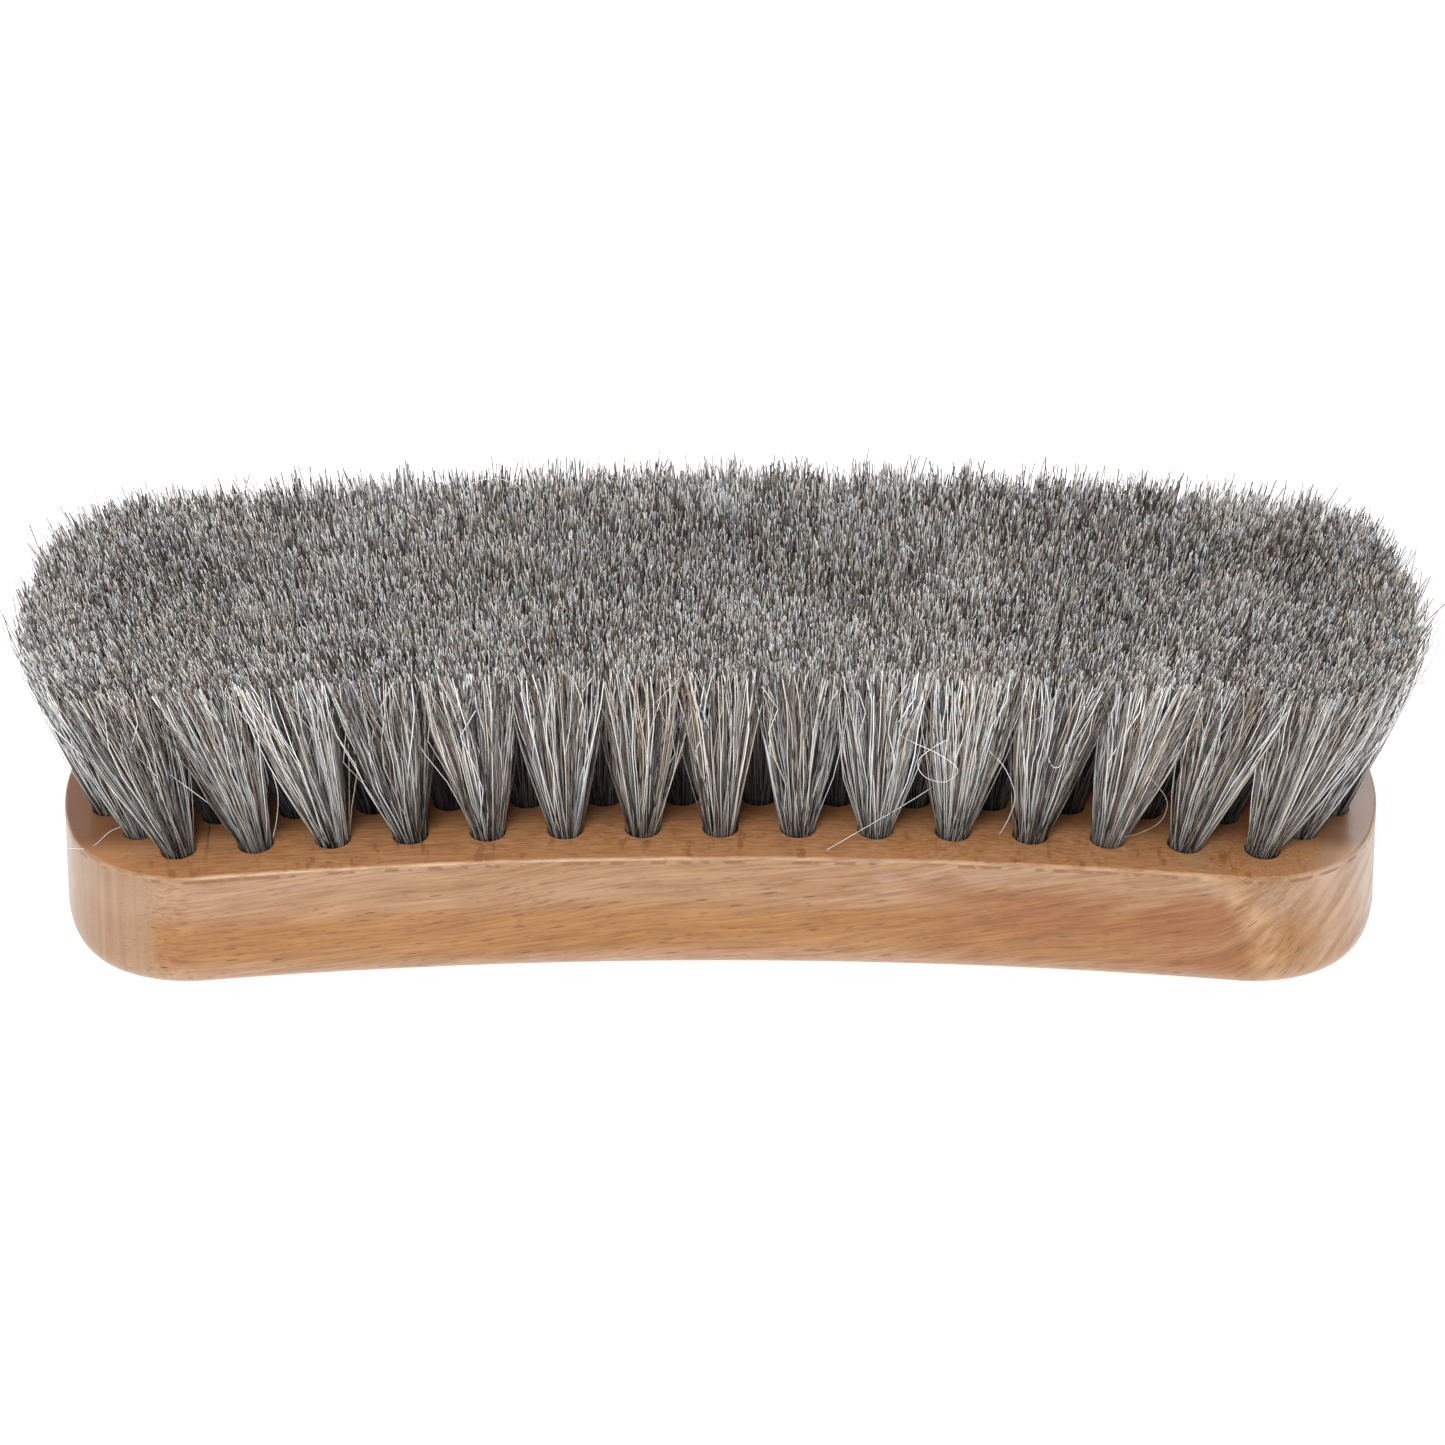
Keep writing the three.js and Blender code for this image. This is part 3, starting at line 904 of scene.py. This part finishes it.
def flecks(look, grain, size, share):
    """Short dark dashes along the grain, in about this share of cells of this size, as a mask."""
    cells = look.stretched(grain, tuple(1 / side for side in size))
    distance = look.node("ShaderNodeTexVoronoi", {"Vector": cells, "Scale": 1.0}, "Distance")
    cell_colour = look.node("ShaderNodeTexVoronoi", {"Vector": cells, "Scale": 1.0}, "Color")
    pick = look.node("ShaderNodeSeparateColor", {"Color": cell_colour}, "Red")
    present = look.between(pick, 1 - share, 1 - share / 3)
    return look.maths("MULTIPLY", look.between(distance, 0.12, 0.27, 1, 0), present)


def tint(look, colour, mask, strength, shade):
    """The colour, turned towards a shade where the mask is."""
    return look.mix(look.maths("MULTIPLY", mask, strength), colour, (*shade, 1))


def all_of(look, *masks):
    product = masks[0]
    for mask in masks[1:]:
        product = look.maths("MULTIPLY", product, mask)
    return product


def band(look, value, low, high, softness):
    """1 from low to high, and 0 beyond the softness on either side."""
    return all_of(
        look,
        look.between(value, low - softness, low),
        look.between(value, high, high + softness, 1, 0),
    )


def beech_body(look, grain, along, depth, on_top):
    """The wood's bands, patches and fibres, more orange rightwards, with painted shade that turns the sides
    more orange low down and a painted reflection that turns the lip paler and pinker.
    """
    bands = look.pattern(grain, (0.012, 0.2, 0.26), detail=3, distortion=0.25)
    colour = look.ramp(bands, BAND_COLOURS)
    colour = tint(look, colour, on_top, strength=0.75, shade=DRILLED_FACE_COLOUR)
    # Painted shade: the sides darker and more orange low down, stronger in the darker grain bands
    lower = all_of(
        look,
        band(look, depth, low=9, high=12.5, softness=4),
        look.between(bands, 0.75, 0.4, 0.6, 1),
    )
    colour = tint(look, colour, lower, strength=0.85, shade=LOWER_SIDE_SHADE_COLOUR)
    patches = look.pattern(grain, (0.07, 0.2, 0.24), detail=4)
    darker_right = all_of(
        look,
        band(look, along, low=30, high=64, softness=9),
        band(look, depth, low=6, high=14, softness=4),
        look.between(patches, 0.38, 0.56, 0.35, 1),
    )
    colour = tint(look, colour, darker_right, strength=0.9, shade=DARKER_RIGHT_COLOUR)
    reddish = all_of(look, look.between(patches, 0.54, 0.68), look.between(depth, 1, 5))
    colour = tint(look, colour, reddish, strength=0.4, shade=RED_PATCH_COLOUR)
    # Painted reflection of the floor: the rounded back edge paler and pinker
    colour = tint(look, colour, look.between(depth, 13.5, 15.5), strength=0.5, shade=LIP_REFLECTION_COLOUR)
    fibres = look.pattern(grain, (0.14, 3, 3), detail=5, roughness=0.65)
    off_ends = look.between(look.maths("ABSOLUTE", along), 71, 80, 1, 0.3)
    colour = look.mix(off_ends, colour, look.ramp(fibres, FIBRE_TINTS), "MULTIPLY")
    return colour, fibres, off_ends


def left_end_streaks(look, colour, place, along, on_top):
    """Upright streaks round the left end."""
    streaks = look.pattern(place, (1.1, 1.1, 0.04), detail=3)
    left_end = look.between(along, -74, -71.5, 1, 0)
    share = all_of(look, left_end, look.between(on_top, 0, 1, 0.65, 0))
    return look.mix(share, colour, look.ramp(streaks, END_STREAK_COLOURS))


def beech_swirl(look, colour, grain, along, depth):
    """The pale curl that sweeps down through the right end, and the paler wood beyond it, partly its own
    colour and partly a painted sheen.
    """
    bow = look.maths("EXPONENT", look.maths("MULTIPLY", depth, -CURL_STRAIGHTENING))
    course = look.maths("ADD", look.maths("MULTIPLY", bow, CURL_BOW), along)
    off_curl = look.maths("ABSOLUTE", look.maths("SUBTRACT", course, CURL_X))
    ragged = look.pattern(grain, (0.4, 0.6, 0.6), detail=5)
    pale = all_of(look, look.between(off_curl, 0.2, CURL_HALF_WIDTH, 1, 0), look.between(ragged, 0.3, 0.7))
    colour = tint(look, colour, pale, strength=0.7, shade=SWIRL_COLOUR)
    soft_bands = look.pattern(grain, (0.12, 0.14, 0.42), detail=3)
    # Paler wood at the right end, partly its own colour and partly a painted sheen
    beyond = all_of(look, look.between(along, 72, 80), look.between(soft_bands, 0.3, 0.7))
    return tint(look, colour, beyond, strength=0.7, shade=RIGHT_END_PALE_AND_SHEEN_COLOUR)


def beech_flecks(look, colour, grain, depth, off_ends):
    """Dark flecks, fewer near the drilled face and at the ends. Also returns the mask of the bold ones."""
    bold = flecks(look, grain, size=(4.6, 1, 0.52), share=0.75)
    faint = flecks(look, grain, size=(2.3, 0.7, 0.45), share=0.85)
    fewer_above = look.between(depth, 1, 7, 0.45, 1)
    bold = all_of(look, bold, fewer_above, off_ends)
    colour = tint(look, colour, bold, strength=0.85, shade=BOLD_FLECK_COLOUR)
    faint = all_of(look, faint, fewer_above, off_ends)
    return tint(look, colour, faint, strength=0.6, shade=FAINT_FLECK_COLOUR), bold


def edge_highlights_and_shade(look, colour, place, along, depth):
    """A painted highlight as a pale broken line along the upper edge, painted shade as dark dashes under it,
    and a fainter painted highlight lower down to the right.
    """
    broken = look.pattern(place, (0.2, 0.3, 0.3), detail=4)
    # Painted highlight along the upper edge and round the mouths of the holes
    pale = all_of(
        look,
        band(look, depth, low=0.1, high=0.32, softness=0.12),
        look.between(broken, 0.4, 0.6),
    )
    colour = tint(look, colour, pale, strength=0.4, shade=EDGE_HIGHLIGHT_COLOUR)
    dashes = look.pattern(place, (0.4, 0.4, 0.3), detail=2)
    # Painted shade in dark dashes under the highlight
    dark = all_of(
        look,
        band(look, depth, low=0.6, high=0.9, softness=0.2),
        look.between(dashes, 0.47, 0.56),
    )
    colour = tint(look, colour, dark, strength=0.7, shade=EDGE_SHADE_DASH_COLOUR)
    # A fainter painted highlight lower down on the side, to the right
    lower_highlight = all_of(
        look,
        band(look, depth, low=2.4, high=3.2, softness=0.9),
        look.between(broken, 0.45, 0.65),
        look.between(along, 0, 25),
    )
    return tint(look, colour, lower_highlight, strength=0.28, shade=LOWER_EDGE_HIGHLIGHT_COLOUR)


def drilled_face_shade_and_stains(look, colour, place, across, on_top):
    """Painted shade on the drilled face among the tufts, and red-brown stains across the strips outside them.
    """
    from_middle = look.maths("ABSOLUTE", across)
    # Painted shade among the tufts
    shade_among_tufts = all_of(look, on_top, look.between(from_middle, 11, 16, 1, 0))
    colour = tint(look, colour, shade_among_tufts, strength=0.7, shade=TUFT_SHADE_COLOUR)
    stains = look.pattern(place, (0.7, 0.25, 0.25), detail=4)
    stained = all_of(look, on_top, look.between(from_middle, 15, 17.5), look.between(stains, 0.56, 0.7))
    return tint(look, colour, stained, strength=0.5, shade=STAIN_COLOUR)


def beech():
    """Beech with a clear satin varnish, with painted highlights and painted shade along the upper edge,
    handled at the ends, and a painted sheen on the right end.
    """
    look = Look("beech")
    place = look.millimetres()
    along, across, height = (look.node("ShaderNodeSeparateXYZ", {"Vector": place}, axis) for axis in "XYZ")
    drop = look.maths("MULTIPLY", look.maths("MULTIPLY", along, along), 1 / (2 * FACE_ARCH_RADIUS))
    depth = look.maths("SUBTRACT", FACE_ARCH_RADIUS + ARCH_CENTRE_Z, look.maths("ADD", drop, height))
    normal = look.node("ShaderNodeTexCoord", {}, "Normal")
    on_top = look.between(look.node("ShaderNodeSeparateXYZ", {"Vector": normal}, "Z"), 0.6, 0.9)

    grain = beech_grain(look, place, along)
    colour, fibres, off_ends = beech_body(look, grain, along, depth, on_top)
    colour = left_end_streaks(look, colour, place, along, on_top)
    colour = beech_swirl(look, colour, grain, along, depth)
    colour, bold_flecks = beech_flecks(look, colour, grain, depth, off_ends)
    colour = edge_highlights_and_shade(look, colour, place, along, depth)
    colour = drilled_face_shade_and_stains(look, colour, place, across, on_top)
    look.feed(look.shader.inputs["Base Color"], colour)

    smears = look.pattern(place, (0.1, 0.1, 0.1), detail=4)
    look.feed(look.shader.inputs["Roughness"], look.between(smears, 0.3, 0.7, *VARNISH_ROUGHNESS))
    look.shader.inputs["Specular IOR Level"].default_value = VARNISH_SPECULAR
    look.shader.inputs["Coat Weight"].default_value = COAT_WEIGHT
    look.shader.inputs["Coat Roughness"].default_value = COAT_ROUGHNESS
    relief = look.maths("SUBTRACT", fibres, look.maths("MULTIPLY", bold_flecks, 0.5))
    look.bump(relief, RELIEF_DEPTH, RELIEF_STRENGTH)
    return look.material


def drawn_steel():
    """Bright flat wire with fine lines along it."""
    look = Look("drawn_steel")
    lines = look.pattern(look.millimetres(), (12, 0.5, 12))
    look.feed(look.shader.inputs["Base Color"], look.ramp(lines, STEEL_COLOURS))
    look.shader.inputs["Metallic"].default_value = 1.0
    look.shader.inputs["Roughness"].default_value = 0.34
    return look.material


def pale_floor():
    look = Look("pale_floor")
    mottle = look.noise(look.millimetres(), 0.004)
    look.feed(look.shader.inputs["Base Color"], look.ramp(mottle, FLOOR_COLOURS))
    look.shader.inputs["Roughness"].default_value = 0.7
    look.shader.inputs["Emission Color"].default_value = (1, 1, 1, 1)
    look.shader.inputs["Emission Strength"].default_value = FLOOR_GLOW
    return look.material


# Studio


def make_floor():
    bm = bmesh.new()
    bmesh.ops.create_grid(bm, x_segments=1, y_segments=1, size=FLOOR_HALF_SIZE)
    mesh = bpy.data.meshes.new("floor")
    bm.to_mesh(mesh)
    bm.free()
    mesh.materials.append(pale_floor())
    floor = bpy.data.objects.new("floor", mesh)
    bpy.context.scene.collection.objects.link(floor)


def softbox(name, place, target, size, power):
    light = bpy.data.lights.new(name, "AREA")
    light.shape = "RECTANGLE"
    light.size, light.size_y = size
    light.energy = power
    obj = bpy.data.objects.new(name, light)
    obj.location = place
    obj.rotation_euler = (Vector(target) - Vector(place)).to_track_quat("-Z", "Y").to_euler()
    bpy.context.scene.collection.objects.link(obj)


def make_world():
    """A light tent: white all round at the horizon, and dimmer overhead."""
    world = bpy.data.worlds.new("studio")
    world.use_nodes = True
    tree = world.node_tree
    direction = tree.nodes.new("ShaderNodeTexCoord")
    split = tree.nodes.new("ShaderNodeSeparateXYZ")
    fade = tree.nodes.new("ShaderNodeMapRange")
    fade.inputs["From Min"].default_value = TENT_WALL_TOP
    fade.inputs["From Max"].default_value = 1
    fade.inputs["To Min"].default_value = TENT_WALL_LIGHT
    fade.inputs["To Max"].default_value = TENT_ROOF_LIGHT
    tree.links.new(direction.outputs["Generated"], split.inputs["Vector"])
    tree.links.new(split.outputs["Z"], fade.inputs["Value"])
    tree.links.new(fade.outputs["Result"], tree.nodes["Background"].inputs["Strength"])
    tree.nodes["Background"].inputs["Color"].default_value = (1, 1, 1, 1)
    bpy.context.scene.world = world


def make_lights():
    make_world()
    for name, (place, target, size, power) in SOFTBOXES.items():
        softbox(name, place, target, size, power)


def make_camera():
    elevation = math.radians(CAMERA_ELEVATION)
    back = Vector((0, -math.cos(elevation), math.sin(elevation)))
    camera = bpy.data.objects.new("camera", bpy.data.cameras.new("camera"))
    camera.data.lens = CAMERA_LENS
    camera.data.sensor_width = SENSOR_WIDTH
    camera.location = (Vector(CAMERA_TARGET) + back * CAMERA_DISTANCE) * MM
    camera.rotation_euler = (-back).to_track_quat("-Z", "Y").to_euler()
    bpy.context.scene.collection.objects.link(camera)
    bpy.context.scene.camera = camera


def main():
    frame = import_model()
    bpy.context.scene.view_settings.view_transform = "Standard"
    make_camera()
    make_lights()
    make_floor()

    places = tuft_places()
    roots = np.array([place["root"] for place in places], float)
    walls = outline_walls(
        bar_outline(FACE_LENGTH, FACE_WIDTH, FACE_END_RADIUS, FACE_CORNER_RADIUS, FACE_STEP_ANGLE)
    )
    for place, root, tip in zip(places, roots, settled_tips(roots, walls), strict=True):
        place["root"] = root
        place["tip"] = tip

    block = make_block(places)
    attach(block, "root")
    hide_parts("block")
    make_hair(places, walls)
    make_anchors(places, frame)


main()
